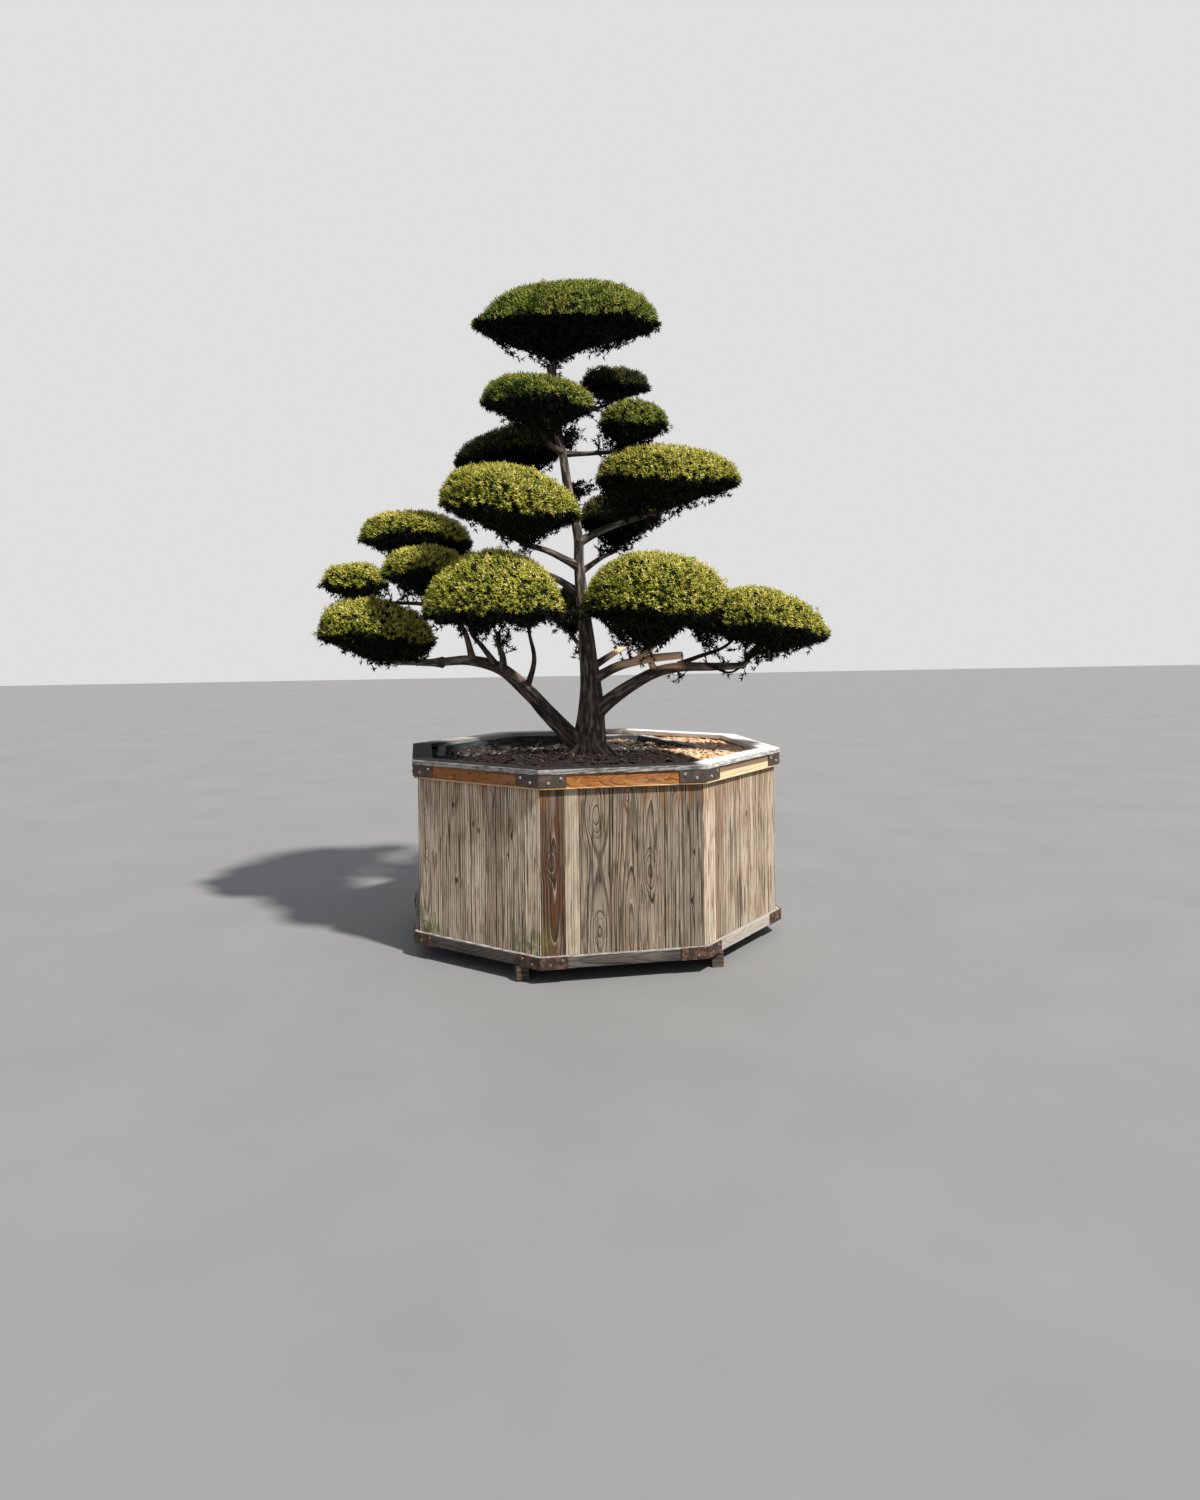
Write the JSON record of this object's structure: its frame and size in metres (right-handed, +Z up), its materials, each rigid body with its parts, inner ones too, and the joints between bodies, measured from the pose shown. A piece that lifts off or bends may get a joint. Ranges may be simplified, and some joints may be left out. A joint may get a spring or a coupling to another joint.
{
  "type": "yew bonsai in planter box",
  "caption": "Cloud-pruned Japanese yew with clipped foliage pads on bare limbs, growing in an octagonal timber planter box with steel corner plates",
  "frame": {"origin": "middle of the underside of the planter box, on the ground", "axes": "+Z up, -Y out of the front side of the box, +X to the right of someone who faces the front"},
  "size_m": [2.3907, 1.6966, 3.097],
  "materials": {
    "bark": "rough, dark brown-grey bark",
    "foliage_sunlit": "matte, dense yellow-green needles",
    "foliage_green": "matte, dense mid-green needles",
    "foliage_dark": "matte, dense shaded needles",
    "cap_timber": "weathered silver-grey boards",
    "upper_rail_timber": "oiled honey-brown timber",
    "lower_rail_timber": "weathered grey timber",
    "side_board_timber": "weathered grey-tan boards with strong grain",
    "hidden_timber": "damp dark brown timber",
    "upper_steel": "dark grey-brown painted steel",
    "lower_steel": "rust-brown mottled steel",
    "soil": "dark soil covered with bark mulch"
  },
  "bodies": {
    "root": {"bearer_left": "hidden_timber", "bearer_middle": "hidden_timber", "bearer_right": "hidden_timber", "box_floor": "hidden_timber", "cap_board_1": "cap_timber", "cap_board_2": "cap_timber", "cap_board_3": "cap_timber", "cap_board_4": "cap_timber", "cap_board_5": "cap_timber", "cap_board_6": "cap_timber", "cap_board_7": "cap_timber", "cap_board_8": "cap_timber", "head_back_left": "foliage_dark", "head_back_low": "foliage_dark", "head_back_right": "foliage_dark", "head_crown": "foliage_green", "head_front": "foliage_sunlit", "head_left_inner": "foliage_sunlit", "head_left_low": "foliage_sunlit", "head_left_tip": "foliage_sunlit", "head_left_top": "foliage_sunlit", "head_middle_left": "foliage_sunlit", "head_middle_right": "foliage_sunlit", "head_right_pair": "foliage_sunlit", "head_right_under": "foliage_dark", "head_upper_back": "foliage_dark", "head_upper_front": "foliage_green", "head_upper_right": "foliage_green", "inner_frame": "hidden_timber", "lower_corner_plate_1": "lower_steel", "lower_corner_plate_2": "lower_steel", "lower_corner_plate_3": "lower_steel", "lower_corner_plate_4": "lower_steel", "lower_corner_plate_5": "lower_steel", "lower_corner_plate_6": "lower_steel", "lower_corner_plate_7": "lower_steel", "lower_corner_plate_8": "lower_steel", "lower_rail": "lower_rail_timber", "side_boards_1": "side_board_timber", "side_boards_2": "side_board_timber", "side_boards_3": "side_board_timber", "side_boards_4": "side_board_timber", "side_boards_5": "side_board_timber", "side_boards_6": "side_board_timber", "side_boards_7": "side_board_timber", "side_boards_8": "side_board_timber", "soil": "soil", "trunk_and_branches": "bark", "upper_corner_plate_1": "upper_steel", "upper_corner_plate_2": "upper_steel", "upper_corner_plate_3": "upper_steel", "upper_corner_plate_4": "upper_steel", "upper_corner_plate_5": "upper_steel", "upper_corner_plate_6": "upper_steel", "upper_corner_plate_7": "upper_steel", "upper_corner_plate_8": "upper_steel", "upper_rail": "upper_rail_timber"}
  },
  "joints": []
}
